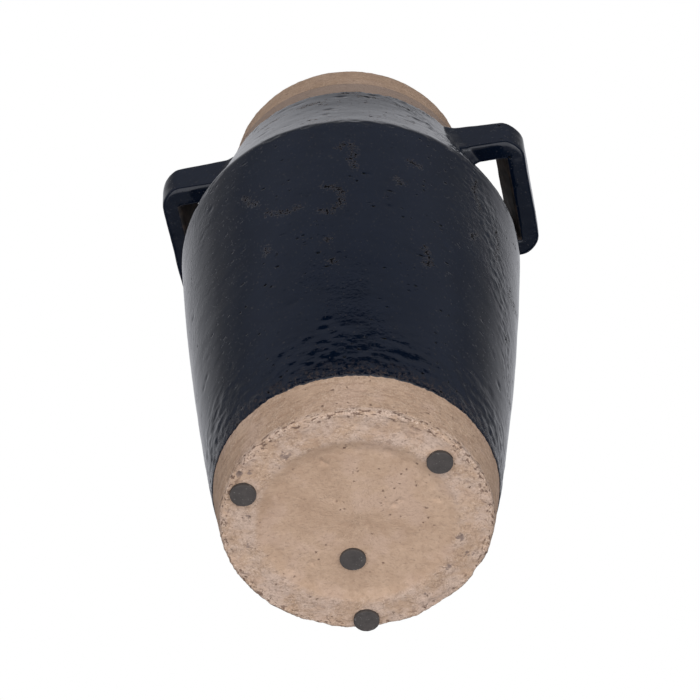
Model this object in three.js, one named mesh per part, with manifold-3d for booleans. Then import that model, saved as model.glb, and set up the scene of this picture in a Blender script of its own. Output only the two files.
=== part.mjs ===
// A two-handled clay vase: a foot, a tall glazed wall, a tapering shoulder, a bare collar,
// two square lug handles and four stick-on pads under the foot.
// Millimetres, +Z up. The origin is on the vase's axis, on the surface that it stands on.
// The handles point along +X and -X.

import * as THREE from 'three';
import { mergeVertices } from 'three/addons/utils/BufferGeometryUtils.js';
import Module from 'manifold-3d';

const wasm = await Module();
wasm.setup();

// Driving dimensions. Heights are above the clay's underside.
const FOOT_RADIUS = 78;
const CREASE_RADIUS = 106.2;
const SHOULDER_TOP_RADIUS = 80.4;
const STEP_RADIUS = 76.8;
const RIM_RADIUS = 73.6;

const GLAZE_LINE_HEIGHT = 28.5;
const CREASE_HEIGHT = 261.6;
const SHOULDER_TOP_HEIGHT = 340.1;
const STEP_HEIGHT = 355.2;
const RIM_HEIGHT = 378.7;

const WALL_BULGE = 3.1;         // how far the wall swells outside a straight cone
const SHOULDER_HOLLOW = 1.2;    // how far the shoulder dips inside a straight cone
const CREASE_ROUNDING = 1.5;
const STEP_DEPTH = 0.8;
const LIP_ROUNDING = 2.5;
const FOOT_ROUNDING = 1.5;

const WALL_THICKNESS = 9;
const FLOOR_THICKNESS = 12;
const RECESS_RADIUS = 58.5;
const RECESS_DEPTH = 2;

const HANDLE_REACH = 117.8;     // from the axis to the outer face of the bar
const HANDLE_BAR = 11.7;        // the bar's thickness at its underside
const HANDLE_BAR_LEAN = 8.6;    // how much thicker the bar is at its top, on its inner side
const HANDLE_HALF_WIDTH = 45.6;
const HANDLE_ARM = 12.9;
const HANDLE_LOW = 306.5;
const HANDLE_HIGH = 327.6;      // top of the bar
const HANDLE_ROOT_HIGH = 335.4; // top of the arms where they meet the shoulder
const HANDLE_ROOT_RADIUS = 82;
const HANDLE_CORNER = 9;

const PAD_RADIUS = 7.5;
const PAD_THICKNESS = 1.7;
const PAD_BEVEL = 0.4;

const GAP = 0.3;                // between pieces that touch
const TURNS = 96;               // facets around the axis
const PAD_TURNS = 32;
const WALL_STEPS = 8;
const SHOULDER_STEPS = 5;

const PADS = [
  { name: 'pad_front_left', radius: 67.6, degrees: -151.3, underside: 0 },
  { name: 'pad_front_right', radius: 63.5, degrees: -32.8, underside: 0 },
  { name: 'pad_back', radius: 71.4, degrees: 95.7, underside: 0 },
  { name: 'pad_middle', radius: 27.4, degrees: 104.9, underside: RECESS_DEPTH },
];

const BASE = PAD_THICKNESS + GAP;  // height of the clay's underside

const glaze = new THREE.MeshStandardMaterial({ color: '#20262f', roughness: 0.15, metalness: 0 });
const clay = new THREE.MeshStandardMaterial({ color: '#b99d86', roughness: 0.95, metalness: 0 });
const rubber = new THREE.MeshStandardMaterial({ color: '#4b4745', roughness: 0.9, metalness: 0 });

// A closed geometry as a solid.
function solid(geometry) {
  const bare = geometry.index ? geometry.toNonIndexed() : geometry;
  bare.deleteAttribute('normal');
  bare.deleteAttribute('uv');
  const merged = mergeVertices(bare, 1e-4);
  return new wasm.Manifold(new wasm.Mesh({
    numProp: 3,
    vertProperties: new Float32Array(merged.attributes.position.array),
    triVerts: new Uint32Array(merged.index.array),
  }));
}

// A solid as a named mesh.
function piece(name, body, material) {
  const data = body.getMesh();
  const geometry = new THREE.BufferGeometry();
  geometry.setAttribute('position', new THREE.BufferAttribute(data.vertProperties, 3));
  geometry.setIndex(new THREE.BufferAttribute(data.triVerts, 1));
  geometry.computeVertexNormals();
  const mesh = new THREE.Mesh(geometry, material);
  mesh.name = name;
  return mesh;
}

// A solid turned about the axis. The section's points are [radius, height above the clay's
// underside], up the outside and down the inside.
function turned(section, turns = TURNS) {
  const points = section.map(([radius, height]) => new THREE.Vector2(radius, height + BASE));
  points.push(points[0].clone());
  return solid(new THREE.LatheGeometry(points, turns).rotateX(Math.PI / 2));
}

// Radius of the outside at a height.
function outerRadius(height) {
  if (height <= CREASE_HEIGHT) {
    const t = height / CREASE_HEIGHT;
    return THREE.MathUtils.lerp(FOOT_RADIUS, CREASE_RADIUS, t) + 4 * WALL_BULGE * t * (1 - t);
  }
  const t = (height - CREASE_HEIGHT) / (SHOULDER_TOP_HEIGHT - CREASE_HEIGHT);
  return THREE.MathUtils.lerp(CREASE_RADIUS, SHOULDER_TOP_RADIUS, t) - 4 * SHOULDER_HOLLOW * t * (1 - t);
}

// Points up the outside from one height to another, or the inside when inset by the wall.
function side(low, high, steps, inset = 0) {
  const points = [];
  for (let i = 0; i <= steps; i += 1) {
    const height = THREE.MathUtils.lerp(low, high, i / steps);
    points.push([outerRadius(height) - inset, height]);
  }
  return points;
}

// The foot: a thick floor with a shallow recess underneath and the lowest part of the wall.
function makeFoot() {
  const top = GLAZE_LINE_HEIGHT;
  return turned([
    [0, RECESS_DEPTH],
    [RECESS_RADIUS - RECESS_DEPTH, RECESS_DEPTH],
    [RECESS_RADIUS, 0],
    [FOOT_RADIUS - FOOT_ROUNDING, 0],
    [outerRadius(FOOT_ROUNDING), FOOT_ROUNDING],
    [outerRadius(top / 2), top / 2],
    [outerRadius(top), top],
    [outerRadius(top) - WALL_THICKNESS, top],
    [outerRadius(FLOOR_THICKNESS) - WALL_THICKNESS, FLOOR_THICKNESS],
    [0, FLOOR_THICKNESS],
  ]);
}

// The glazed wall, from the glaze line up to the crease.
function makeWall() {
  const low = GLAZE_LINE_HEIGHT + GAP;
  const outside = side(low, CREASE_HEIGHT - CREASE_ROUNDING, WALL_STEPS);
  const inside = side(low, CREASE_HEIGHT, WALL_STEPS / 2, WALL_THICKNESS);
  const crease = [[CREASE_RADIUS - CREASE_ROUNDING / 2, CREASE_HEIGHT]];
  return turned([...outside, ...crease, ...inside.reverse()]);
}

// The glazed shoulder, from the crease up to the collar.
function makeShoulder() {
  const low = CREASE_HEIGHT + GAP;
  const outside = side(low, SHOULDER_TOP_HEIGHT, SHOULDER_STEPS);
  const inside = side(low, SHOULDER_TOP_HEIGHT, 2, WALL_THICKNESS);
  return turned([...outside, ...inside.reverse()]);
}

// The bare collar: a short sloping band, a step and a narrower rim with a rounded lip.
function makeCollar() {
  const low = SHOULDER_TOP_HEIGHT + GAP;
  return turned([
    [SHOULDER_TOP_RADIUS, low],
    [STEP_RADIUS + STEP_DEPTH, STEP_HEIGHT],
    [STEP_RADIUS, STEP_HEIGHT + STEP_DEPTH],
    [RIM_RADIUS, RIM_HEIGHT - LIP_ROUNDING],
    [RIM_RADIUS - LIP_ROUNDING, RIM_HEIGHT],
    [RIM_RADIUS - WALL_THICKNESS + LIP_ROUNDING, RIM_HEIGHT],
    [RIM_RADIUS - WALL_THICKNESS, RIM_HEIGHT - LIP_ROUNDING],
    [STEP_RADIUS - WALL_THICKNESS, STEP_HEIGHT],
    [SHOULDER_TOP_RADIUS - WALL_THICKNESS, low],
  ]);
}

// A shape in X and Z, drawn above the clay's underside and extruded along Y about the middle.
function across(points, width) {
  const shape = new THREE.Shape(points.map(([x, z]) => new THREE.Vector2(x, z + BASE)));
  const geometry = new THREE.ExtrudeGeometry(shape, { depth: width, bevelEnabled: false });
  return solid(geometry.rotateX(Math.PI / 2).translate(0, width / 2, 0));
}

// The handle's outline from above: two arms and a bar with rounded outer corners.
function handleBlock() {
  const plan = new THREE.Shape();
  const square = HANDLE_HALF_WIDTH - HANDLE_CORNER;
  const bend = HANDLE_REACH - HANDLE_CORNER;
  plan.moveTo(0, -HANDLE_HALF_WIDTH);
  plan.lineTo(bend, -HANDLE_HALF_WIDTH);
  plan.absarc(bend, -square, HANDLE_CORNER, -Math.PI / 2, 0);
  plan.lineTo(HANDLE_REACH, square);
  plan.absarc(bend, square, HANDLE_CORNER, 0, Math.PI / 2);
  plan.lineTo(0, HANDLE_HALF_WIDTH);
  const depth = HANDLE_ROOT_HIGH - HANDLE_LOW;
  const geometry = new THREE.ExtrudeGeometry(plan, { depth, bevelEnabled: false, curveSegments: 6 });
  return solid(geometry.translate(0, 0, HANDLE_LOW + BASE));
}

// A square loop that lies flat: its slot opens up and down beside the shoulder.
function makeHandle() {
  const clear = 1;                            // how far the cutters run past the faces
  const width = 2 * (HANDLE_HALF_WIDTH + clear);
  const slope = across([
    [0, HANDLE_LOW],
    [HANDLE_REACH + clear, HANDLE_LOW],
    [HANDLE_REACH + clear, HANDLE_HIGH],
    [HANDLE_ROOT_RADIUS, HANDLE_ROOT_HIGH],
    [0, HANDLE_ROOT_HIGH],
  ], width);
  const bar = HANDLE_REACH - HANDLE_BAR;
  const slot = across([
    [0, HANDLE_LOW - clear],
    [bar, HANDLE_LOW - clear],
    [bar, HANDLE_LOW],
    [bar - HANDLE_BAR_LEAN, HANDLE_HIGH],
    [bar - HANDLE_BAR_LEAN, HANDLE_ROOT_HIGH + clear],
    [0, HANDLE_ROOT_HIGH + clear],
  ], 2 * (HANDLE_HALF_WIDTH - HANDLE_ARM));
  const pot = turned([
    [0, CREASE_HEIGHT],
    ...side(CREASE_HEIGHT, SHOULDER_TOP_HEIGHT, SHOULDER_STEPS, -GAP),
    [0, SHOULDER_TOP_HEIGHT],
  ]);
  return handleBlock().intersect(slope).subtract(slot).subtract(pot);
}

// A round pad with a small bevel around its underside, about its own axis.
function makePad() {
  const top = PAD_THICKNESS - BASE;
  return turned([
    [0, -BASE],
    [PAD_RADIUS - PAD_BEVEL, -BASE],
    [PAD_RADIUS, PAD_BEVEL - BASE],
    [PAD_RADIUS, top],
    [0, top],
  ], PAD_TURNS);
}

const vase = new THREE.Group();
vase.name = 'vase';
vase.add(piece('foot', makeFoot(), clay));
vase.add(piece('body_wall', makeWall(), glaze));
vase.add(piece('shoulder', makeShoulder(), glaze));
vase.add(piece('collar', makeCollar(), clay));

for (const [name, turn] of [['handle_right', 0], ['handle_left', Math.PI]]) {
  const handle = piece(name, makeHandle(), glaze);
  handle.rotation.z = turn;
  vase.add(handle);
}

for (const { name, radius, degrees, underside } of PADS) {
  const angle = THREE.MathUtils.degToRad(degrees);
  const pad = piece(name, makePad(), rubber);
  pad.position.set(radius * Math.cos(angle), radius * Math.sin(angle), underside);
  vase.add(pad);
}

export default vase;
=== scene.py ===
"""A two-handled clay vase with a dark glaze, built around its packed CAD model.

The clay is thrown: each round piece is a section drawn point by point and spun about the axis.
The handles are pulled from a bar, and the finishes are procedural.
"""

import itertools
import math

import bpy
import numpy as np
from bpy.props import FloatProperty, FloatVectorProperty, PointerProperty
from mathutils import Matrix, Vector


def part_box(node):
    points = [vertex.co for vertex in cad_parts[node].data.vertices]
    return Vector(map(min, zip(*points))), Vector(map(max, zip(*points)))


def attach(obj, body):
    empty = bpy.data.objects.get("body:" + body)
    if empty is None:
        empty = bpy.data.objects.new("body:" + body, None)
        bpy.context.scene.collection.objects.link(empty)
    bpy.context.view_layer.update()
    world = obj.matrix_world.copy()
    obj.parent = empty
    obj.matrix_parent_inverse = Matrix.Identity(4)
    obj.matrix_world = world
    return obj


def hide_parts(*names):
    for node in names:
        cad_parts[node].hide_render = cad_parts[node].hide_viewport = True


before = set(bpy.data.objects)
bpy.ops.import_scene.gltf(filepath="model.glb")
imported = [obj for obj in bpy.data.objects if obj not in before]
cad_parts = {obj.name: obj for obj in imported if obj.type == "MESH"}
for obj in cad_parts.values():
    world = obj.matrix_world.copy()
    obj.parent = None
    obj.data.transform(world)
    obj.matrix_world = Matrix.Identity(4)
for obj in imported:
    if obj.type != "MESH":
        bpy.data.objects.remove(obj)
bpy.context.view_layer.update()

bl_info = {
    "name": "Two-Handled Vase",
    "version": (1, 0, 0),
    "blender": (4, 5, 0),
    "location": "View3D > Sidebar > Vase",
    "description": "Builds a glazed two-handled clay vase and its studio around a packed CAD model",
    "category": "Add Mesh",
}

MM = 0.001

# Heights and radii that the packed model gives.
CLAY_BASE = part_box("foot")[0][2]
GLAZE_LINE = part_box("foot")[1][2]
CREASE_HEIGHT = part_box("body_wall")[1][2]
CREASE_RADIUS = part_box("shoulder")[1][0]
SHOULDER_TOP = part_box("shoulder")[1][2]
SHOULDER_TOP_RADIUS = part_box("collar")[1][0]
RIM_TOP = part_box("collar")[1][2]

# Fineness of the round pieces.
TURNS = 432          # facets around the axis
PAD_TURNS = 96
STEP = 1.5 * MM      # spacing of the rings on the glazed wall
CLAY_STEP = 1.1 * MM

TUCK = 3.0 * MM      # how far the clay and the glaze reach past each other at a glaze line
SKIN = 0.6 * MM      # how far under the clay's smooth outline its outside may lie

# Marks on the foot's underside: bearing, distance from the axis, reach (mm), darkness, depth.
STAINS = (
    (-120, 62, 4.5, 0.75, 0.1), (-142, 75, 3.0, 1.0, 0.5), (-139, 70, 2.5, 0.8, 0.4),
    (21, 60, 3.5, 0.9, 0.2), (42, 62, 3.0, 0.8, 0.2), (30, 68, 3.5, 0.7, 0.2), (64, 66, 2.5, 0.6, 0.3),
    (-158, 68, 3.0, 0.8, 0.3), (-166, 62, 3.5, 0.7, 0.2), (175, 64, 3.5, 0.6, 0.2),
    (-105, 46, 1.6, 0.1, 1.0), (-103, 44, 1.4, 0.1, 0.8), (-17, 24, 1.6, 0.25, 1.0),
    (-20, 28, 1.5, 0.1, 0.8), (-60, 52, 2.2, 0.1, 0.6), (140, 40, 2.0, 0.1, 0.6), (-8, 48, 2.2, 0.1, 0.7),
)
# Flats knocked off the foot's edge: bearing, width (degrees), depth.
CHIPS = (
    (62, 9, 0.75), (84, 6, 0.45), (38, 5, 0.6), (20, 4, 0.4), (-150, 6, 0.4), (118, 5, 0.5),
    (-60, 4, 0.25),
)
# Cracks in the glaze: the bearing and height (mm) of each point along a crack.
CRACKS = (
    ((-110, 191), (-107, 186), (-103, 183), (-98, 184)), ((-119, 218), (-117, 210), (-114, 204)),
    ((-89, 199), (-85, 196), (-83, 189), (-84, 180), (-88, 174), (-91, 176)),
    ((-80, 240), (-79, 233), (-80, 225), (-79, 216)), ((-84, 236), (-82, 239)),
    ((-54, 150), (-53, 144), (-52, 138), (-54, 136)), ((-33, 193), (-35, 186)), ((-65, 209), (-63, 206)),
    ((-33, 246), (-34, 234), (-31, 222)), ((-22, 218), (-20, 205), (-21, 190)),
    ((-88, 129), (-87, 127)), ((-88, 149), (-89, 147)), ((-111, 157), (-111, 154)), ((-60, 230), (-57, 228)),
    ((-76, 332), (-70, 331)), ((-101, 322), (-94, 323)), ((-120, 318), (-112, 319)),
    ((-60, 326), (-53, 325)), ((-84, 338), (-79, 338)), ((-47, 335), (-41, 336)),
)
SCATTERED_CRACKS = 34
CRACK_REACH = 5 * MM     # how far from its line a crack still counts
MEAN_RADIUS = 100 * MM   # turns bearings along a crack into lengths
# Bands of pits in the glaze: count, lowest and highest place, length and height (mm), depth.
PIT_BANDS = (
    (60, SHOULDER_TOP - 70 * MM, SHOULDER_TOP - 4 * MM, 3.8, 1.1, 0.9),
    (90, CREASE_HEIGHT - 3 * MM, CREASE_HEIGHT + 3 * MM, 3.0, 1.3, 0.9),
    (50, GLAZE_LINE + 8 * MM, CREASE_HEIGHT, 2.0, 1.5, 0.7),
    (120, GLAZE_LINE + 3 * MM, GLAZE_LINE + 14 * MM, 1.8, 1.5, 0.8),
)
# A slanting strip of crawled glaze: bearing at the crease, turn for each metre down, half its width.
CRAWLED = (math.radians(-38), 4.0, 0.13)
# A patch of glaze that is pocked like orange peel: bearing, height and reach.
POCKED = (math.radians(-26), 200 * MM, 62 * MM)

NEAR_INSET = 3.5 * MM    # how far a handle stops short of its box at one side
LEFT_SHIFT = 1.6 * MM    # how much nearer to the axis the left handle is
# Rings of a handle's arms: first place, gap to the wall, flare at the sides, share of the rise.
HANDLE_RINGS = (
    (60 * MM, 5 * MM, 0.0, 0.85), (40 * MM, -MM, 3 * MM, 1.0), (20 * MM, -5 * MM, 3 * MM, 1.0),
)
PADS = ("pad_front_left", "pad_front_right", "pad_back", "pad_middle")

# Tones inside the finishes.
PINK_CLAY = (0.52, 0.37, 0.285)
CHALKY_CLAY = (0.58, 0.445, 0.36)
COLLAR_CLAY = (0.36, 0.25, 0.165)
# Darker tone painted on the collar below its step, inside and out.
DARKER_BELOW_STEP = (0.28, 0.215, 0.175)
CRUMB = (0.70, 0.545, 0.42)
HOLE = (0.17, 0.105, 0.075)
STAIN = (0.19, 0.14, 0.12)
# Black inside the glaze's pits and cracks: painted shade.
PIT_SHADE = (0.003, 0.003, 0.003)
CRACK_SHADE = (0.002, 0.002, 0.002)
# Near black painted on the handles' slot walls as shade.
SLOT_SHADE = (0.006, 0.005, 0.005)
PAD_LIGHT = (0.072, 0.062, 0.056)
PAD_DARK = (0.046, 0.040, 0.036)
PAD_SPECK = (0.22, 0.21, 0.19)

# The studio from behind the vase (0) to the camera's side (1): place, brightness, coolness.
STUDIO_STOPS = (
    (0.0, 0.52, 0.0), (0.045, 0.50, 0.0), (0.09, 0.40, 0.0), (0.156, 0.22, 0.0), (0.245, 0.17, 0.7),
    (0.32, 0.25, 1.0), (0.42, 0.25, 1.0), (0.468, 0.22, 1.0), (0.482, 0.005, 0.0), (0.59, 0.005, 0.0),
    (0.63, 0.16, 0.5), (0.72, 0.22, 0.5), (0.80, 1.3, 0.0), (1.0, 1.5, 0.0),
)
STUDIO_PEAK = 1.5
FLOOR_GLOW = 0.45
# Area lights: name, bearing, height (degrees), distance, size, power, seen in reflections.
LIGHTS = (
    ("key_light", -12, -44, 1.6, 0.8, 2.0, True), ("fill_light", -134, -26, 1.6, 0.8, 0.5, True),
    ("front_light", -84, -30, 1.5, 1.0, 3.4, False), ("top_light", 95, 70, 2.4, 2.5, 34.0, False),
)


# ---------------------------------------------------------------- settings

def length(name, default, low, high, description):
    return FloatProperty(
        name=name, description=description, default=default, min=low, max=high, unit="LENGTH")


def angle(name, degrees, description):
    return FloatProperty(
        name=name, description=description, default=math.radians(degrees), subtype="ANGLE")


def tone(name, default, description):
    return FloatVectorProperty(
        name=name, description=description, default=default, min=0.0, max=1.0, subtype="COLOR", size=3)


class VaseShape(bpy.types.PropertyGroup):
    """Sizes of the clay that the packed model's boxes don't give."""

    foot_radius: length("Foot Radius", 0.078, 0.03, 0.2, "Radius of the clay's underside")
    wall_bulge: length("Wall Bulge", 0.0031, 0.0, 0.02, "How far the wall swells outside a straight cone")
    shoulder_hollow: length("Shoulder Hollow", 0.0012, 0.0, 0.01,
        "How far the shoulder dips inside a straight cone")
    crease_softness: length("Crease Softness", 0.0005, 0.0001, 0.005,
        "Rounding of the edge between wall and shoulder")
    wall_thickness: length("Wall Thickness", 0.009, 0.003, 0.02, "Thickness of the clay wall")
    floor_thickness: length("Floor Thickness", 0.012, 0.003, 0.03, "Thickness of the clay floor")
    recess_radius: length("Recess Radius", 0.0585, 0.01, 0.15,
        "Radius of the shallow recess under the foot")
    recess_depth: length("Recess Depth", 0.002, 0.0, 0.01, "Depth of the recess under the foot")
    step_height: length("Step Height", 0.0235, 0.005, 0.05,
        "Height of the step under the rim, below the rim's top")
    step_radius: length("Step Radius", 0.0768, 0.03, 0.2, "Radius of the rim just above its step")
    step_depth: length("Step Depth", 0.0008, 0.0, 0.005, "How far the rim sits back above its step")
    rim_radius: length("Rim Radius", 0.0736, 0.03, 0.2, "Outer radius of the rim at its top")
    lip_rounding: length("Lip Rounding", 0.0025, 0.0005, 0.01, "Radius of the rounded edges of the lip")
    handle_arm: length("Handle Arm", 0.0129, 0.004, 0.03, "Thickness of a handle's arms, seen from above")
    handle_bar: length("Handle Bar", 0.0117, 0.004, 0.03, "Thickness of a handle's bar at its underside")
    handle_lean: length("Handle Lean", 0.0086, 0.0, 0.03, "How much thicker a handle's bar is at its top")
    handle_rise: length("Handle Rise", 0.0068, 0.0, 0.03,
        "How much higher a handle is at the shoulder than at its bar")
    handle_lift: length("Handle Lift", 0.004, 0.0, 0.008,
        "How far the handles are set above their place in the part")
    handle_corner: length("Handle Corner", 0.0125, 0.001, 0.02,
        "Radius of a handle's outer corners, seen from above")


class VaseClay(bpy.types.PropertyGroup):
    """Finish of the bare clay."""

    light: tone("Light Clay", (0.53, 0.372, 0.258), "The clay's lighter tone")
    dark: tone("Dark Clay", (0.41, 0.275, 0.185), "The clay's darker tone")
    pit: tone("Pits", (0.15, 0.09, 0.06), "Colour inside the clay's pits")
    lumps: length("Lumps", 0.0007, 0.0, 0.005, "Height of the clay's slow unevenness")
    grit: length("Grit", 0.0003, 0.0, 0.003, "Height of the clay's rough grain")


class VaseGlaze(bpy.types.PropertyGroup):
    """Finish of the glaze."""

    colour: tone("Glaze", (0.0019, 0.0050, 0.0128), "Colour of the glaze")
    thin: tone("Thin Glaze", (0.045, 0.03, 0.022), "Colour where the glaze is thin over the clay")
    thickness: length("Glaze Thickness", 0.0006, 0.0001, 0.003, "Thickness of the glaze over the clay")
    edge_wander: length("Edge Wander", 0.0022, 0.0, 0.01, "How far the glaze's edges wander up and down")
    ripple: length("Ripple", 0.00009, 0.0, 0.002, "Height of the glaze's fine ripples")
    dents: length("Dents", 0.0012, 0.0, 0.005, "Depth of the dents above the lower glaze edge")


class VaseStage(bpy.types.PropertyGroup):
    """Camera and studio."""

    azimuth: angle("Azimuth", -80.708, "Direction of the camera around the vase")
    elevation: angle("Elevation", -54.668,
        "Height of the camera's line of sight, below the floor if negative")
    roll: angle("Roll", -1.199, "Turn of the camera about its line of sight")
    distance: length("Distance", 2.0358, 0.5, 10.0,
        "Distance of the camera from the point that it looks at")
    aim: FloatVectorProperty(
        name="Aim", description="The point that the camera looks at",
        subtype="TRANSLATION", size=3, default=(-0.00184, -0.0003, 0.17165), unit="LENGTH")
    lens: FloatProperty(
        name="Lens", description="Focal length in millimetres",
        default=172.14, min=20.0, max=400.0)
    backdrop: tone("Backdrop", (1.0, 1.0, 1.0), "Colour of the studio behind the vase")
    floor: tone("Floor", (0.82, 0.81, 0.80), "Colour of the floor")
    light: FloatProperty(
        name="Studio Light", description="Strength of the soft light around the vase",
        default=1.0, min=0.0, max=10.0)


# ---------------------------------------------------------------- modelling

def object_mode():
    if bpy.context.mode != "OBJECT":
        bpy.ops.object.mode_set(mode="OBJECT")


def edit_mode(select="DESELECT"):
    bpy.ops.object.mode_set(mode="EDIT")
    bpy.ops.mesh.select_mode(type="VERT")
    bpy.ops.mesh.select_all(action=select)


def started(name):
    """The primitive just added, named, with its place in its mesh."""
    piece = bpy.context.active_object
    piece.name = name
    piece.data.name = name
    bpy.ops.object.transform_apply(location=True, rotation=True, scale=True)
    return piece


def picked(piece):
    """Makes the piece the only one selected."""
    bpy.ops.object.select_all(action="DESELECT")
    piece.select_set(True)
    bpy.context.view_layer.objects.active = piece


def smoothstep(low, high, value):
    t = np.clip((value - low) / (high - low), 0.0, 1.0)
    return t * t * (3.0 - 2.0 * t)


def spread(low, high, step):
    """Evenly spaced values from low to high, about a step apart."""
    count = max(2, int(round(abs(high - low) / step)) + 1)
    return np.linspace(low, high, count)


def arc(centre, radius, first, last, count=6):
    """Section points on a circle, from one angle in right angles to another."""
    return [
        (centre[0] + radius * math.cos(turn), centre[1] + radius * math.sin(turn))
        for turn in np.linspace(first * math.pi / 2, last * math.pi / 2, count)
    ]


def turned(name, section, turns=TURNS):
    """A piece spun about the vase's axis from a section of (radius, height) points."""
    bpy.ops.object.select_all(action="DESELECT")
    radius, height = section[0]
    bpy.ops.mesh.primitive_circle_add(vertices=3, radius=0.1 * MM, location=(radius, 0, height))
    piece = started(name)
    edit_mode("SELECT")
    bpy.ops.mesh.merge(type="CENTER")
    for (r0, z0), (r1, z1) in zip(section, section[1:]):
        move = {"value": (float(r1 - r0), 0.0, float(z1 - z0))}
        bpy.ops.mesh.extrude_vertices_move(TRANSFORM_OT_translate=move)
    bpy.ops.mesh.select_all(action="SELECT")
    bpy.ops.mesh.spin(steps=turns, angle=math.tau, center=(0, 0, 0), axis=(0, 0, 1))
    bpy.ops.mesh.select_all(action="SELECT")
    bpy.ops.mesh.remove_doubles(threshold=0.01 * MM)
    bpy.ops.mesh.normals_make_consistent(inside=False)
    object_mode()
    return piece


def places(piece):
    """The piece's vertices as an array."""
    found = np.empty(len(piece.data.vertices) * 3)
    piece.data.vertices.foreach_get("co", found)
    return found.reshape(-1, 3)


def face_centres(piece):
    found = np.empty(len(piece.data.polygons) * 3)
    piece.data.polygons.foreach_get("center", found)
    return found.reshape(-1, 3)


def masked(piece, name, weights, levels=48):
    """A vertex group that holds a weight for each vertex."""
    group = piece.vertex_groups.new(name=name)
    steps = np.rint(np.clip(weights, 0.0, 1.0) * levels).astype(int)
    for level in range(1, levels + 1):
        chosen = np.flatnonzero(steps == level)
        if len(chosen):
            group.add(chosen.tolist(), level / levels, "REPLACE")
    return name


def painted(piece, name, values):
    """A value for each vertex that a material reads by its name."""
    layer = piece.data.attributes.new(name, "FLOAT", "POINT")
    layer.data.foreach_set("value", np.asarray(values, dtype=np.float32))


def modified(piece, kind, **settings):
    """Adds a modifier to the piece and applies it."""
    picked(piece)
    bpy.ops.object.modifier_add(type=kind)
    modifier = piece.modifiers[-1]
    for key, value in settings.items():
        setattr(modifier, key, value)
    bpy.ops.object.modifier_apply(modifier=modifier.name)


def sunk(piece, name, depth, weights):
    """Presses the surface in by a depth, where the weights say."""
    modified(piece, "DISPLACE", strength=-depth, mid_level=0.0, texture_coords="LOCAL",
             vertex_group=masked(piece, name, weights))


def ruffled(piece, name, height, size, detail, weights=None, flat=1.0, hard=False, direction="NORMAL"):
    """Moves the surface by noise of a grain size. A flat value under 1 draws the grain out around
    the axis."""
    texture = bpy.data.textures.new(name, "CLOUDS")
    texture.noise_scale = size
    texture.noise_depth = detail
    texture.noise_type = "HARD_NOISE" if hard else "SOFT_NOISE"
    guide = None
    if flat != 1.0:
        guide = bpy.data.objects.new(name + "_guide", None)
        guide.scale = (1.0, 1.0, flat)
        bpy.context.collection.objects.link(guide)
        bpy.context.view_layer.update()
    modified(piece, "DISPLACE", strength=height, mid_level=0.5, texture=texture, direction=direction,
             vertex_group="" if weights is None else masked(piece, name, weights),
             texture_coords="OBJECT" if guide else "LOCAL", texture_coords_object=guide)
    if guide:
        bpy.data.objects.remove(guide)


def finished(piece, nodes, slot, *materials):
    """Gives a piece its finish and its place in the frame."""
    for material in materials:
        piece.data.materials.append(material)
    picked(piece)
    bpy.ops.object.shade_smooth()
    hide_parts(*nodes)
    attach(piece, "root")
    return piece


# ---------------------------------------------------------------- the clay's shape

def pot_radius(height):
    """Radius of the clay's outside at a height in the frame, up to the upper glaze edge."""
    shape = bpy.context.scene.vase_shape
    rise = (height - CLAY_BASE) / (CREASE_HEIGHT - CLAY_BASE)
    wall = shape.foot_radius + (CREASE_RADIUS - shape.foot_radius) * rise
    wall = wall + 4 * shape.wall_bulge * rise * (1 - rise)
    climb = (height - CREASE_HEIGHT) / (SHOULDER_TOP - CREASE_HEIGHT)
    shoulder = CREASE_RADIUS + (SHOULDER_TOP_RADIUS - CREASE_RADIUS) * climb
    shoulder = shoulder - 4 * shape.shoulder_hollow * climb * (1 - climb)
    soft = shape.crease_softness
    lower = np.minimum(wall, shoulder)
    return lower - soft * np.log1p(np.exp(-np.abs(wall - shoulder) / soft))


def side(low, high, step, out=0.0):
    """Section points up the outside, moved outwards by a distance."""
    return [(pot_radius(z) + out, z) for z in spread(low, high, step)]


def straight(foot, head, above, under, step):
    """Section points on the line from foot to head, from a gap past the foot to a gap before the
    head."""
    (r0, z0), (r1, z1) = foot, head
    way = 1 if z1 > z0 else -1
    heights = spread(z0 + way * above, z1 - way * under, step)
    return [(r0 + (r1 - r0) * (z - z0) / (z1 - z0), z) for z in heights]


def uneven(piece):
    """The slow unevenness that all the clay and the glaze over it share."""
    clay = bpy.context.scene.vase_clay
    ruffled(piece, "slow_unevenness", clay.lumps, 70 * MM, 1)
    ruffled(piece, "lumps", clay.lumps * 0.25, 20 * MM, 2, flat=0.6)


def underside_height(radius):
    """Height of the foot's underside above the clay's base: a recess, a ridge and a worn ring."""
    shape = bpy.context.scene.vase_shape
    inner, outer = shape.recess_radius, shape.foot_radius
    recess = shape.recess_depth * (1 - smoothstep(inner - 9 * MM, inner + 2 * MM, radius))
    middle = (inner + outer) / 2
    hollow = 0.5 * MM * np.exp(-((radius - middle) / (5.0 * MM)) ** 2)
    dish = 0.5 * MM * (1 - smoothstep(0.0, inner, radius))
    return recess + hollow + dish


# ---------------------------------------------------------------- pieces

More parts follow.
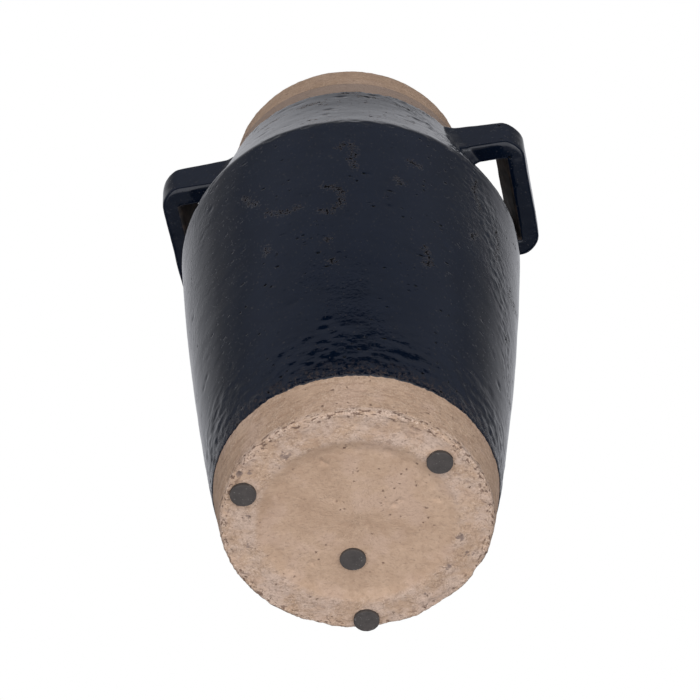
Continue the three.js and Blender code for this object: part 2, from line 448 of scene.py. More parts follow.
class VASE_OT_foot(bpy.types.Operator):
    """Throw the foot: a thick floor with a recess under it, a worn ring and a bare lower wall"""

    bl_idname = "vase.foot"
    bl_label = "Foot"

    def execute(self, context):
        shape, clay = context.scene.vase_shape, context.scene.vase_clay
        edge = 2.0 * MM
        flat_end = shape.foot_radius - edge
        under = [(r, CLAY_BASE + underside_height(r)) for r in spread(0, flat_end, CLAY_STEP)]
        corner = []
        for turn in np.linspace(0, math.pi / 2, 5)[1:-1]:
            z = CLAY_BASE + edge * (1 - math.cos(turn))
            corner.append((flat_end + (pot_radius(z) - flat_end) * math.sin(turn), z))
        top = GLAZE_LINE + TUCK
        wall = side(CLAY_BASE + edge, top, CLAY_STEP)
        floor = CLAY_BASE + shape.floor_thickness
        bend = 6 * MM
        inside = side(top, floor + bend, 4 * MM, -shape.wall_thickness)
        centre = inside[-1][0] - bend
        inside += arc((centre, floor + bend), bend, 0, -1)[1:]
        inside += [(r, floor) for r in spread(centre - 5 * MM, 0, 9 * MM)]
        piece = turned("foot_clay", under + corner + wall + inside)
        uneven(piece)
        self.roughen(piece, shape, clay)
        self.chip(piece, shape)
        finished(piece, ["foot"], "bare_clay", material("Bare Clay", fill_clay))
        return {"FINISHED"}

    def roughen(self, piece, shape, clay):
        """A gritty worn ring and rim, a smoother disc and turning marks on the lower wall."""
        x, y, z = places(piece).T
        radius = np.hypot(x, y)
        recess, outer = shape.recess_radius, shape.foot_radius
        below = z < CLAY_BASE + 3.5 * MM
        ring = smoothstep(recess - 3 * MM, recess + 1 * MM, radius) * below
        ruffled(piece, "worn_ring", clay.grit * 1.8, 5 * MM, 4, ring, hard=True)
        rim = np.exp(-(np.hypot(radius - outer + 2 * MM, z - CLAY_BASE - MM) / (3 * MM)) ** 2)
        ruffled(piece, "worn_rim", clay.grit * 4.0, 5 * MM, 4, rim, hard=True)
        disc = (1 - smoothstep(recess - 3 * MM, recess, radius)) * below
        ruffled(piece, "smooth_disc", clay.grit * 1.4, 9 * MM, 2, disc)
        side_band = (z > CLAY_BASE + 3 * MM) * (radius > outer - 3 * MM) * 1.0
        ruffled(piece, "turning_marks", clay.grit * 1.4, 6 * MM, 3, side_band, flat=0.18)
        self.mark(piece, x, y, below)

    def mark(self, piece, x, y, below):
        """Stains on the worn ring, and dents pressed into the soft clay."""
        stain, dent = np.zeros_like(x), np.zeros_like(x)
        for bearing, out, reach, dark, deep in STAINS:
            turn = math.radians(bearing)
            gap = (x - out * MM * math.cos(turn)) ** 2 + (y - out * MM * math.sin(turn)) ** 2
            spot = np.exp(-gap / (reach * MM) ** 2) * below
            stain = np.maximum(stain, spot * dark)
            dent = np.maximum(dent, spot * deep)
        painted(piece, "stain", stain)
        sunk(piece, "dents", 1.3 * MM, dent)

    def chip(self, piece, shape):
        """Knocks small flats off the edge of the foot."""
        x, y, z = places(piece).T
        near = smoothstep(shape.foot_radius - 9 * MM, shape.foot_radius - 2 * MM, np.hypot(x, y))
        near = near * (1 - smoothstep(2 * MM, 9 * MM, z - CLAY_BASE))
        bearing = np.degrees(np.arctan2(y, x))
        knocked = np.zeros_like(bearing)
        for centre, width, depth in CHIPS:
            knocked = knocked + depth * np.exp(-((bearing - centre) / width) ** 2)
        sunk(piece, "chips", 1.6 * MM, near * np.clip(knocked, 0, 1))


class VASE_OT_glazed_body(bpy.types.Operator):
    """Throw the glazed wall and shoulder, with the glaze's edges lapping over the bare clay"""

    bl_idname = "vase.glazed_body"
    bl_label = "Glazed Body"

    def execute(self, context):
        shape, glaze = context.scene.vase_shape, context.scene.vase_glaze
        low, high = GLAZE_LINE, SHOULDER_TOP
        buried, edge, proud = -0.3 * MM, 0.15 * MM, 0.8 * glaze.thickness
        lip_low = [
            (pot_radius(low + TUCK) + buried, low + TUCK), (pot_radius(low) + buried, low),
            (pot_radius(low) + edge, low), (pot_radius(low) + proud, low + 0.5 * MM)]
        outside = side(low + 1.6 * MM, high - 1.6 * MM, STEP, glaze.thickness)
        lip_high = [
            (pot_radius(high) + proud, high - 0.5 * MM), (pot_radius(high) + edge, high),
            (pot_radius(high) + buried, high), (pot_radius(high - TUCK) + buried, high - TUCK)]
        inside = side(high - TUCK, low + TUCK, 22 * MM, -shape.wall_thickness)
        section = lip_low + outside + lip_high + inside
        piece = turned("glazed_body", section + [section[0]])
        uneven(piece)
        self.wander(piece, glaze)
        self.ripple(piece, glaze)
        centres = face_centres(piece)
        radius = np.hypot(centres[:, 0], centres[:, 1])
        inner = radius < pot_radius(centres[:, 2]) - SKIN
        piece.data.polygons.foreach_set("material_index", inner.astype(int))
        finished(piece, ["body_wall", "shoulder"], "navy_glaze",
                 material("Dark Glaze", fill_glaze), material("Bare Clay", fill_clay))
        return {"FINISHED"}

    def wander(self, piece, glaze):
        """Lets the two edges of the glaze wander up and down."""
        x, y, z = places(piece).T
        edge = 1 - smoothstep(0.8 * MM, 4 * MM, np.minimum(z - GLAZE_LINE, SHOULDER_TOP - z))
        edge = edge * (np.hypot(x, y) > pot_radius(z) - SKIN)
        for name, share, size in (("edge_wander", 1.0, 22 * MM), ("edge_nicks", 0.9, 3.2 * MM)):
            ruffled(piece, name, glaze.edge_wander * share, size, 2, edge, direction="Z")

    def ripple(self, piece, glaze):
        """Ripples, dents and pits of the glazed outside."""
        x, y, z = places(piece).T
        outside = (np.hypot(x, y) > pot_radius(z) + 0.3 * glaze.thickness) * 1.0
        ruffled(piece, "peel", glaze.ripple, 4.5 * MM, 2, outside, flat=0.7)
        ruffled(piece, "waves", glaze.ripple * 2.0, 22 * MM, 1, outside, flat=0.7)
        up = z - GLAZE_LINE
        low = outside * (1 - smoothstep(18 * MM, 55 * MM, up)) * smoothstep(2 * MM, 7 * MM, up)
        ruffled(piece, "dents", glaze.dents, 7.5 * MM, 2, low, flat=0.6)
        bearing, slant, width = CRAWLED
        turn = np.arctan2(y, x) - bearing - (CREASE_HEIGHT - z) * slant
        flank = np.exp(-(turn / width) ** 2) * smoothstep(20 * MM, 90 * MM, up)
        ruffled(piece, "crawl", glaze.dents * 1.1, 3.6 * MM, 3, outside * flank, flat=0.8)
        self.pit(piece, outside)

    def pit(self, piece, outside):
        """Scatters shallow pits, and cracks in the glaze as wandering lines."""
        x, y, z = places(piece).T
        bearing, radius = np.arctan2(y, x), np.hypot(x, y)
        seeds = np.random.default_rng(7)
        depth = np.zeros_like(z)
        for count, low, high, length, height, deep in PIT_BANDS:
            for _ in range(count):
                where, up = seeds.uniform(-math.pi, math.pi), seeds.uniform(low, high)
                size = seeds.uniform(0.4, 1.4)
                near = np.flatnonzero(np.abs(z - up) < 6 * MM)
                turn = (bearing[near] - where + math.pi) % math.tau - math.pi
                along = turn * radius[near] / (length * MM * size)
                spot = np.exp(-along ** 2 - ((z[near] - up) / (height * MM)) ** 2)
                depth[near] = np.maximum(depth[near], spot * deep * seeds.uniform(0.3, 1.0))
        sunk(piece, "glaze_pits", 0.8 * MM, depth * outside)
        crack = np.zeros_like(z)
        walks = [[(math.radians(b), h * MM) for b, h in walk] for walk in CRACKS]
        for _ in range(SCATTERED_CRACKS):
            where, up = seeds.uniform(-0.3, 3.4), seeds.uniform(GLAZE_LINE + 20 * MM, SHOULDER_TOP)
            walk = [(where, up)]
            for _ in range(seeds.integers(1, 5)):
                where, up = where + seeds.normal(0, 0.06), up + seeds.normal(0, 6 * MM)
                walk.append((where, up))
            walks.append(walk)
        for walk in walks:
            for (b0, h0), (b1, h1) in zip(walk, walk[1:]):
                turn = (bearing - b0 + math.pi) % math.tau - math.pi
                u, v = turn * radius, z - h0
                du, dv = (b1 - b0) * MEAN_RADIUS, h1 - h0
                part = np.clip((u * du + v * dv) / (du * du + dv * dv), 0, 1)
                gap = np.hypot(u - part * du, v - part * dv)
                crack = np.maximum(crack, 1 - gap / CRACK_REACH)
        painted(piece, "crack", np.clip(crack, 0, 1) * 0.55 * outside)


class VASE_OT_collar(bpy.types.Operator):
    """Throw the bare collar: a sloping band, a step and the rim with its rounded lip"""

    bl_idname = "vase.collar"
    bl_label = "Collar"

    def execute(self, context):
        shape, clay = context.scene.vase_shape, context.scene.vase_clay
        step_z = RIM_TOP - shape.step_height
        ledge = shape.step_radius + shape.step_depth
        start = SHOULDER_TOP - TUCK
        band = [(pot_radius(start), start)]
        band += straight((SHOULDER_TOP_RADIUS, SHOULDER_TOP), (ledge, step_z), 0, 0.6 * MM, CLAY_STEP)
        band.append((ledge - 0.35 * MM, step_z))
        lip = shape.lip_rounding
        crown_z = RIM_TOP - lip
        rim = straight((shape.step_radius, step_z), (shape.rim_radius, RIM_TOP), 0.5 * MM, lip, CLAY_STEP)
        outer = shape.rim_radius - lip
        inner = shape.rim_radius - shape.wall_thickness + lip
        crown = arc((outer, crown_z), lip, 0, 1)[1:]
        crown += [(r, RIM_TOP) for r in spread(outer, inner, CLAY_STEP)[1:-1]]
        crown += arc((inner, crown_z), lip, 1, 2)[:-1]
        low_inner = SHOULDER_TOP_RADIUS - shape.wall_thickness
        throat = straight((inner - lip, crown_z), (low_inner, start), 0, 0, 3 * MM)
        section = band + rim + crown + throat
        piece = turned("collar_clay", section + [section[0]])
        uneven(piece)
        near_top = smoothstep(RIM_TOP - 7 * MM, RIM_TOP, places(piece)[:, 2])
        ruffled(piece, "collar_marks", clay.grit, 6 * MM, 3, flat=0.2)
        ruffled(piece, "lip_rough", clay.grit * 3.0, 7 * MM, 3, near_top)
        ruffled(piece, "collar_grit", clay.grit * 0.8, 2.6 * MM, 2)
        finished(piece, ["collar"], "bare_clay", material("Bare Clay", fill_clay))
        return {"FINISHED"}


class VASE_OT_handles(bpy.types.Operator):
    """Pull the two square handles: a bar with two arms that run into the shoulder"""

    bl_idname = "vase.handles"
    bl_label = "Handles"

    def execute(self, context):
        right = self.pull(context, "handle_right_clay")
        picked(right)
        bpy.ops.object.duplicate(linked=False)
        left = context.active_object
        left.name = "handle_left_clay"
        left.data.name = "handle_left_clay"
        left.rotation_euler = (0, 0, math.pi)
        left.location.x = LEFT_SHIFT
        bpy.ops.object.transform_apply(location=True, rotation=True, scale=False)
        for piece, node in ((right, "handle_right"), (left, "handle_left")):
            self.weather(piece)
            finished(piece, [node], "navy_glaze", material("Dark Glaze", fill_glaze))
        return {"FINISHED"}

    def pull(self, context, name):
        """A bar cut to the handle's box, with two arms drawn from it until they meet the wall."""
        shape = context.scene.vase_shape
        lift = Vector((0, 0, shape.handle_lift))
        low, high = (Vector(corner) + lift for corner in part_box("handle_right"))
        bar_top = high.z - shape.handle_rise
        bar_in = high.x - shape.handle_bar
        bpy.ops.object.select_all(action="DESELECT")
        near = -high.y + NEAR_INSET
        centre = ((bar_in + high.x) / 2, (near + high.y) / 2, (low.z + bar_top) / 2)
        size = (high.x - bar_in, high.y - near, bar_top - low.z)
        bpy.ops.mesh.primitive_cube_add(size=1, location=centre, scale=size)
        piece = started(name)
        near_slot, slot_edge = near + shape.handle_arm, high.y - shape.handle_arm
        edit_mode("SELECT")
        for y in (near_slot, slot_edge):
            bpy.ops.mesh.select_all(action="SELECT")
            bpy.ops.mesh.bisect(plane_co=(0, y, 0), plane_no=(0, 1, 0))
        lifted = shape.handle_rise * 0.45
        self.choose(piece, "VERT", lambda p: p.x < bar_in + MM and p.z > bar_top - MM)
        bpy.ops.transform.translate(value=(0, 0, lifted))
        self.choose(piece, "FACE", lambda c, n: n.x < -0.9 and not near_slot < c.y < slot_edge)
        end = bar_in
        for ring, _, _, _ in HANDLE_RINGS:
            bpy.ops.mesh.extrude_region_move(TRANSFORM_OT_translate={"value": (ring - end, 0, 0)})
            end = ring
        sides = ((near, -1), (near_slot, 0.2), (slot_edge, -0.2), (high.y, 1))
        for ring, outside, flare, part in HANDLE_RINGS:
            for (edge, way), top in itertools.product(sides, (False, True)):
                y = edge + way * flare
                z = bar_top + shape.handle_rise * part if top else low.z - flare
                x = math.sqrt((pot_radius(z) + outside) ** 2 - y ** 2)
                self.choose(piece, "VERT", lambda p: abs(p.x - ring) < MM and abs(p.y - edge) < MM
                            and (p.z > centre[2]) == top)
                start = bar_top + lifted if top else low.z
                bpy.ops.transform.translate(value=(x - ring, y - edge, z - start))
        self.choose(piece, "VERT", lambda p: abs(p.x - bar_in) < MM and p.z > bar_top - MM
                    and near + MM < p.y < high.y - MM)
        bpy.ops.transform.translate(value=(-shape.handle_lean, 0, 0))
        self.choose(piece, "EDGE", lambda a, b: min(a.x, b.x) > high.x - MM
                    and abs(a.z - b.z) > 5 * MM and abs(a.y) > -near - MM)
        bpy.ops.mesh.bevel(offset=shape.handle_corner, segments=7, profile=0.42, affect="EDGES")
        bpy.ops.mesh.select_all(action="SELECT")
        bpy.ops.mesh.remove_doubles(threshold=0.02 * MM)
        bpy.ops.mesh.normals_make_consistent(inside=False)
        object_mode()
        self.round_edges(piece)
        return piece

    def choose(self, piece, kind, wanted):
        """Selects vertices by place, edges by both ends' places, or faces by centre and normal."""
        bpy.ops.mesh.select_mode(type=kind)
        bpy.ops.mesh.select_all(action="DESELECT")
        object_mode()
        mesh = piece.data
        if kind == "VERT":
            found = [(vertex, (vertex.co,)) for vertex in mesh.vertices]
        elif kind == "EDGE":
            found = [(edge, [mesh.vertices[i].co for i in edge.vertices]) for edge in mesh.edges]
        else:
            found = [(face, (face.center, face.normal)) for face in mesh.polygons]
        for element, facts in found:
            element.select = bool(wanted(*facts))
        bpy.ops.object.mode_set(mode="EDIT")

    def round_edges(self, piece):
        """Rounds every sharp edge and gives the surface an even, fine mesh."""
        modified(piece, "BEVEL", width=1.8 * MM, segments=4, limit_method="ANGLE",
                 angle_limit=math.radians(35))
        modified(piece, "REMESH", mode="VOXEL", voxel_size=0.8 * MM)
        modified(piece, "SMOOTH", factor=0.5, iterations=4)

    def weather(self, piece):
        """Uneven faces, and a mask of the slot's inner wall, where the glaze is painted near black as shade,
        dull, with patches of thin brown glaze.
        """
        glaze, shape = bpy.context.scene.vase_glaze, bpy.context.scene.vase_shape
        high = Vector(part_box("handle_right")[1])
        x, y, _ = places(piece).T
        inner = high.x - shape.handle_bar + 0.6 * MM
        wall = (np.abs(x) < inner) * (np.abs(x) > 90 * MM)
        slot = high.y - shape.handle_arm + 0.5 * MM
        along = y * np.sign(x)
        # The slot's inner wall, which the glaze paints near black as shade, with thin brown patches.
        painted(piece, "bare", wall * (along < slot) * (along > NEAR_INSET - slot) * 1.0)
        ruffled(piece, "handle_lumps", 0.9 * MM, 20 * MM, 2)
        ruffled(piece, "handle_peel", glaze.ripple, 7 * MM, 1)


class VASE_OT_pads(bpy.types.Operator):
    """Cut the four round pads under the foot, each a little different"""

    bl_idname = "vase.pads"
    bl_label = "Foot Pads"

    def execute(self, context):
        for node in PADS:
            low, high = (Vector(corner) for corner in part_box(node))
            radius = (high.x - low.x) / 2
            centre = (low + high) / 2
            top = high.z + 0.9 * MM
            edge = 0.5 * MM
            face = [(r, low.z) for r in spread(0, radius - edge, 0.6 * MM)]
            rounded = arc((radius - edge, low.z + edge), edge, -1, 0)[1:]
            back = [(radius, top), (radius - edge, top), (0, top)]
            piece = turned(node + "_disc", face + rounded + back, turns=PAD_TURNS)
            piece.location = (centre.x, centre.y, 0)
            picked(piece)
            bpy.ops.object.transform_apply(location=True, rotation=False, scale=False)
            ruffled(piece, "pad_cut", 0.25 * MM, 5 * MM, 2)
            ruffled(piece, "pad_grain", 0.08 * MM, 0.9 * MM, 1)
            finished(piece, [node], "pad_rubber", material("Pad Rubber", fill_rubber))
        return {"FINISHED"}


# ---------------------------------------------------------------- materials

def rgba(value):
    """A colour setting with its alpha, or a socket as it is."""
    if isinstance(value, (bpy.types.NodeSocket, bpy.types.Node)) or len(value) == 4:
        return value
    return (*value, 1.0)


class Web:
    """Adds and links the nodes of one tree."""

    def __init__(self, tree):
        self.tree = tree

    def add(self, kind, inputs=None, **settings):
        node = self.tree.nodes.new("ShaderNode" + kind)
        for key, value in settings.items():
            setattr(node, key, value)
        for key, value in (inputs or {}).items():
            self.put(node.inputs[key], value)
        return node

    def put(self, socket, value):
        if isinstance(value, bpy.types.NodeSocket):
            self.tree.links.new(value, socket)
        elif isinstance(value, bpy.types.Node):
            self.tree.links.new(value.outputs[0], socket)
        else:
            socket.default_value = value

    def maths(self, operation, *values, kind="Math", **settings):
        node = self.add(kind, operation=operation, **settings)
        for socket, value in zip(node.inputs, values):
            self.put(socket, value)
        return node.outputs[0]

    def times(self, first, second, **settings):
        return self.maths("MULTIPLY", first, second, **settings)

    def plus(self, first, second):
        return self.maths("ADD", first, second)

    def most(self, first, second):
        return self.maths("MAXIMUM", first, second)

    def scaled(self, value, factor, offset, **settings):
        return self.maths("MULTIPLY_ADD", value, factor, offset, **settings)

    def total(self, *layers):
        """The sum of the layers, each times its weight."""
        value = 0.0
        for layer, weight in layers:
            value = self.scaled(layer, weight, value)
        return value

    def vector(self, operation, *values):
        return self.maths(operation, *values, kind="VectorMath")

    def gap(self, operation, *values):
        """A length or a distance."""
        return self.vector(operation, *values).node.outputs["Value"]

    def fade(self, value, low, high, at_low=0.0, at_high=1.0):
        """A value spread smoothly from one range to another."""
        node = self.add("MapRange", {"Value": value, "From Min": low, "From Max": high,
                                     "To Min": at_low, "To Max": at_high},
                        interpolation_type="SMOOTHSTEP")
        return node.outputs[0]

    def blend(self, factor, first, second, mode="MIX"):
        node = self.add("Mix", data_type="RGBA", blend_type=mode)
        self.put(node.inputs["Factor"], factor)
        self.put(node.inputs[6], rgba(first))
        self.put(node.inputs[7], rgba(second))
        return node.outputs[2]

    def layered(self, colour, *layers):
        """A colour under layers of (strength, colour)."""
        for strength, layer in layers:
            colour = self.blend(strength, colour, layer)
        return colour

    def place(self):
        return self.add("TexCoord").outputs["Object"]

    def split(self, vector):
        return self.add("SeparateXYZ", {"Vector": vector}).outputs

    def joined(self, x, y, z):
        return self.add("CombineXYZ", {"X": x, "Y": y, "Z": z}).outputs[0]

    def noise(self, vector, scale, detail=2.0, roughness=0.5, output="Fac"):
        node = self.add("TexNoise", {"Vector": vector, "Scale": scale, "Detail": detail,
                                     "Roughness": roughness})
        return node.outputs[output]

    def painted(self, name):
        return self.add("Attribute", attribute_name=name).outputs["Fac"]

    def group(self, name, inputs, outputs, fill, values):
        """Outputs of a shared node group, which fill() fills in when it is first used. Inputs are
        (name, type, default), and outputs are (name, type)."""
        if name not in bpy.data.node_groups:
            tree = bpy.data.node_groups.new(name, "ShaderNodeTree")
            for label, kind, default in inputs:
                socket = tree.interface.new_socket(
                    name=label, in_out="INPUT", socket_type="NodeSocket" + kind)
                socket.default_value = default
            for label, kind in outputs:
                tree.interface.new_socket(
                    name=label, in_out="OUTPUT", socket_type="NodeSocket" + kind)
            entry = tree.nodes.new("NodeGroupInput").outputs
            leave = tree.nodes.new("NodeGroupOutput").inputs
            fill(Web(tree), entry, leave)
        node = self.add("Group", node_tree=bpy.data.node_groups[name])
        for socket, value in zip(node.inputs, values):
            self.put(socket, value)
        return node.outputs

    def pits(self, per_metre, reach, share, flatness=1.0):
        return self.group(
            "Vase Pits",
            [("Per Metre", "Float", 200.0), ("Reach", "Float", 0.25), ("Share", "Float", 0.4),
             ("Flatness", "Float", 1.0)],
            [("Mask", "Float"), ("Bowl", "Float")], fill_pits, (per_metre, reach, share, flatness))

    def lines(self, per_metre, around, detail):
        return self.group(
            "Vase Turning Lines",
            [("Per Metre", "Float", 500.0), ("Around", "Float", 6.0), ("Detail", "Float", 3.0)],
            [("Lines", "Float")], fill_lines, (per_metre, around, detail))["Lines"]

    def mottle(self, light, dark, per_metre, contrast):
        return self.group(
            "Vase Mottle",
            [("Light", "Color", (1, 1, 1, 1)), ("Dark", "Color", (0, 0, 0, 1)),
             ("Per Metre", "Float", 40.0), ("Contrast", "Float", 0.5)],
            [("Color", "Color"), ("Mask", "Float")], fill_mottle,
            (rgba(light), rgba(dark), per_metre, contrast))["Color"]

    def bumped(self, surface, strength, distance, height):
        bump = self.add("Bump", {"Strength": strength, "Distance": distance, "Height": height})
        self.put(surface["Normal"], bump)

    def shown(self, shader, kind="OutputMaterial"):
        self.put(self.add(kind).inputs["Surface"], shader)


def fill_pits(web, entry, leave):
    """Scattered pits: only some cells hold one, and their outlines are ragged."""
    place = web.vector("MULTIPLY", web.place(), web.joined(1.0, 1.0, entry["Flatness"]))
    shift = web.vector("SUBTRACT", web.noise(place, 900.0, output="Color"), (0.5, 0.5, 0.5))
    shift = web.vector("MULTIPLY", shift, (0.002, 0.002, 0.002))
    place = web.vector("ADD", place, shift)
    cell = web.add("TexVoronoi", {"Vector": place, "Scale": entry["Per Metre"]}).outputs
    chance = web.split(cell["Color"])
    kept = web.maths("LESS_THAN", chance[0], entry["Share"])
    reach = web.times(entry["Reach"], web.plus(chance[1], 0.25))
    depth = web.fade(cell["Distance"], reach, web.times(reach, 0.45))
    wide = web.fade(cell["Distance"], web.times(reach, 1.7), 0.0)
    web.put(leave["Mask"], web.times(kept, depth))
    web.put(leave["Bowl"], web.times(kept, wide))


def fill_lines(web, entry, leave):
    """Turning lines: noise drawn out around the axis, on walls by height and on flats by radius."""
    x, y, z = web.split(web.place())
    flat = web.joined(x, y, 0.0)
    rise = web.times(web.plus(z, web.gap("LENGTH", flat)), entry["Per Metre"])
    x, y, _ = web.split(web.vector("NORMALIZE", flat))
    drawn = web.joined(web.times(x, entry["Around"]), web.times(y, entry["Around"]), rise)
    web.put(leave["Lines"], web.noise(drawn, 1.0, entry["Detail"]))


def fill_mottle(web, entry, leave):
    """Two tones mixed by slow and quick noise."""
    place = web.place()
    slow = web.noise(place, entry["Per Metre"], 4.0, 0.62)
    quick = web.noise(place, web.times(entry["Per Metre"], 7.0), 3.0, 0.6)
    both = web.total((slow, 0.62), (quick, 0.38))
    mask = web.times(web.plus(both, -0.5), entry["Contrast"])
    mask = web.scaled(mask, 6.0, 0.5, use_clamp=True)
    web.put(leave["Mask"], mask)
    web.put(leave["Color"], web.blend(mask, entry["Dark"], entry["Light"]))


def material(name, fill):
    """A material with one surface shader, which fill() sets up when it is first used."""
    if name not in bpy.data.materials:
        made = bpy.data.materials.new(name)
        made.use_nodes = True
        made.node_tree.nodes.clear()
        web = Web(made.node_tree)
        surface = web.add("BsdfPrincipled")
        web.shown(surface)
        fill(web, surface.inputs)
    return bpy.data.materials[name]


def fill_clay(web, surface):
    """Bare fired clay: mottled tan, pitted, gritty on the worn ring, with turning lines."""
    clay, shape = bpy.context.scene.vase_clay, bpy.context.scene.vase_shape
    recess, outer, step_z = shape.recess_radius, shape.foot_radius, RIM_TOP - shape.step_height
    place = web.place()
    x, y, z = web.split(place)
    radius = web.gap("LENGTH", web.joined(x, y, 0.0))
    below = web.fade(z, CLAY_BASE + 3 * MM, CLAY_BASE + 5 * MM, 1.0, 0.0)
    level = web.maths("SUBTRACT", 1.0, below)
    ring = web.times(below, web.fade(radius, recess - 4 * MM, recess + 1 * MM))
    corner = web.times(web.fade(radius, outer - 6 * MM, outer - 2 * MM),
                       web.fade(z, CLAY_BASE + 1.5 * MM, CLAY_BASE + 6 * MM, 1.0, 0.0))
    rough = web.most(web.times(ring, 0.5), corner)

    chalk = web.times(ring, web.fade(web.noise(place, 75.0, 4.0, 0.6), 0.38, 0.62))
    colour = web.layered(
        web.mottle(clay.light, clay.dark, 28.0, 0.6),
        (web.fade(web.noise(place, 48.0, 3.0), 0.48, 0.66, 0.0, 0.4), PINK_CLAY),
        (web.times(chalk, 0.6), CHALKY_CLAY))
    lines = web.lines(420.0, 5.0, 4.0)
    drawn = web.times(level, web.fade(lines, 0.3, 0.55, 0.2, 0.0))
    colour = web.blend(drawn, colour, clay.dark, "MULTIPLY")

    grain = web.noise(place, 900.0, 4.0, 0.72)
    crumbly = web.scaled(rough, 0.75, web.scaled(level, 0.25, 0.12))
    crumbly = web.times(crumbly, web.fade(web.noise(place, 120.0, 3.0, 0.6), 0.36, 0.58, 0.35, 1.0))
    torn = web.lines(560.0, 22.0, 5.0)
    gritty = web.blend(0.5, web.noise(place, 420.0, 5.0, 0.72), torn)
    holes = web.fade(web.maths("MINIMUM", gritty, grain), 0.385, 0.435, 1.0, 0.0)
    worn = web.plus(web.most(web.times(ring, 0.3), 0.17), corner)
    cracked = web.times(worn, web.fade(torn, 0.38, 0.44, 1.0, 0.0), use_clamp=True)
    holes = web.most(web.times(holes, crumbly), cracked)
    # The collar painted darker below its step, inside and out.
    throat = web.times(web.fade(z, SHOULDER_TOP - 9 * MM, SHOULDER_TOP - 8 * MM),
                       web.fade(z, step_z - 1 * MM, step_z + 1 * MM, 0.7, 0.0))
    blot = web.scaled(web.noise(place, 380.0, 4.0, 0.65), 1.8, -0.9)
    blot = web.fade(web.plus(web.painted("stain"), blot), 0.48, 0.72)
    pocked = web.fade(web.noise(place, 38.0, 2.0), 0.42, 0.6)
    pits = web.most(web.pits(330.0, 0.24, 0.35)["Mask"], web.pits(100.0, 0.12, 0.4, 1.8)["Mask"])
    pits = web.times(pits, pocked)
    colour = web.layered(
        colour,
        (web.fade(z, RIM_TOP - 40 * MM, RIM_TOP - 30 * MM, 0.0, 0.35), COLLAR_CLAY),
        (web.times(crumbly, web.fade(grain, 0.54, 0.6)), CRUMB),
        (web.times(holes, 0.85), HOLE),
        (throat, DARKER_BELOW_STEP),
        (web.times(blot, 0.75), STAIN),
        (web.times(pits, 0.8), clay.pit))
    web.put(surface["Base Color"], colour)
    surface["Roughness"].default_value = 0.92
    surface["IOR"].default_value = 1.4
    surface["Specular IOR Level"].default_value = 0.25
    web.bumped(surface, 0.75, 0.45 * MM, web.total(
        (grain, web.scaled(crumbly, 1.5, 0.35)), (gritty, web.scaled(crumbly, 3.0, 0.5)),
        (web.noise(place, 90.0, 5.0, 0.65), 2.6), (web.times(lines, level), 0.5), (pits, -1.5),
        (web.pits(60.0, 0.14, 0.5)["Bowl"], -1.5), (cracked, -1.2)))


def fill_glaze(web, surface):
    """Dark glossy glaze: ripples, pits, short cracks, thin brown patches near its lower edge. Pits and
    cracks are painted black without reflection, as shade inside them, and the handles' slot walls are
    painted near black as shade.
    """
    glaze = bpy.context.scene.vase_glaze
    place = web.place()
    z = web.split(place)[2]
    near_edge = web.fade(z, GLAZE_LINE + 2 * MM, GLAZE_LINE + 16 * MM, 1.0, 0.0)
    thin = web.times(near_edge, web.fade(web.noise(place, 480.0, 5.0, 0.75), 0.5, 0.6))
    fine, long = web.pits(240.0, 0.26, 0.2, 1.3), web.pits(75.0, 0.13, 0.35, 3.0)
    worn = web.fade(web.noise(place, 30.0, 2.0), 0.44, 0.54)
    bowls = web.times(web.most(fine["Bowl"], long["Bowl"]), web.scaled(worn, 0.7, 0.3))
    pits = web.times(web.most(fine["Mask"], long["Mask"]), worn)
    ragged = web.scaled(web.noise(place, 620.0, 3.0, 0.6), 2.4, -1.2)
    crack = web.plus(web.painted("crack"), ragged)
    rim, crack = web.fade(crack, 0.36, 0.5), web.fade(crack, 0.56, 0.66)
    # Mask of the handles' slot walls: painted near black as shade, dull, with brown patches of thin glaze.
    bare = web.fade(web.scaled(ragged, 0.4, web.painted("bare")), 0.4, 0.6)
    brown_share = web.fade(web.noise(place, 160.0, 4.0, 0.6), 0.4, 0.62, 0.05, 0.75)
    colour = web.layered(
        web.mottle(glaze.colour, [part * 0.7 for part in glaze.colour], 60.0, 0.5),
        (web.times(thin, 0.7), glaze.thin),
        # Real pits and cracks, painted black as shade inside them.
        (pits, PIT_SHADE),
        (web.times(rim, 0.35), glaze.thin),
        (crack, CRACK_SHADE),
        # Painted shade: the slot walls near black, with brown patches of thin glaze.
        (bare, SLOT_SHADE),
        (web.times(bare, brown_share), glaze.thin))
    web.put(surface["Base Color"], colour)
    # Black metallic pits and cracks show no reflection: painted shade inside them.
    pits = web.most(pits, crack)
    web.put(surface["Metallic"], pits)
    dull = web.fade(web.noise(place, 70.0, 3.0), 0.35, 0.75, 0.045, 0.11)
    web.put(surface["Roughness"], web.scaled(pits, 0.5, web.scaled(bare, 0.6, dull)))
    surface["IOR"].default_value = 1.5

    turn, up, reach = POCKED
    spot = (CREASE_RADIUS * math.cos(turn), CREASE_RADIUS * math.sin(turn), up)
    patchy = web.most(web.fade(web.noise(place, 16.0, 2.0), 0.5, 0.62, 0.12, 1.0),
                      web.fade(web.gap("DISTANCE", place, spot), reach * 0.4, reach, 1.6, 0.0))
    dented = web.fade(z, GLAZE_LINE + 25 * MM, GLAZE_LINE + 60 * MM, 1.0, 0.0)
    squashed = web.vector("MULTIPLY", place, (1.0, 1.0, 1.9))
    web.bumped(surface, 0.5, 0.4 * MM, web.total(
        (web.noise(place, 400.0, 3.0, 0.55), patchy), (web.lines(260.0, 7.0, 3.0), 0.07),
        (web.times(web.noise(squashed, 210.0, 1.0), dented), 0.9), (thin, 0.4),
        (web.plus(bowls, rim), -1.1)))


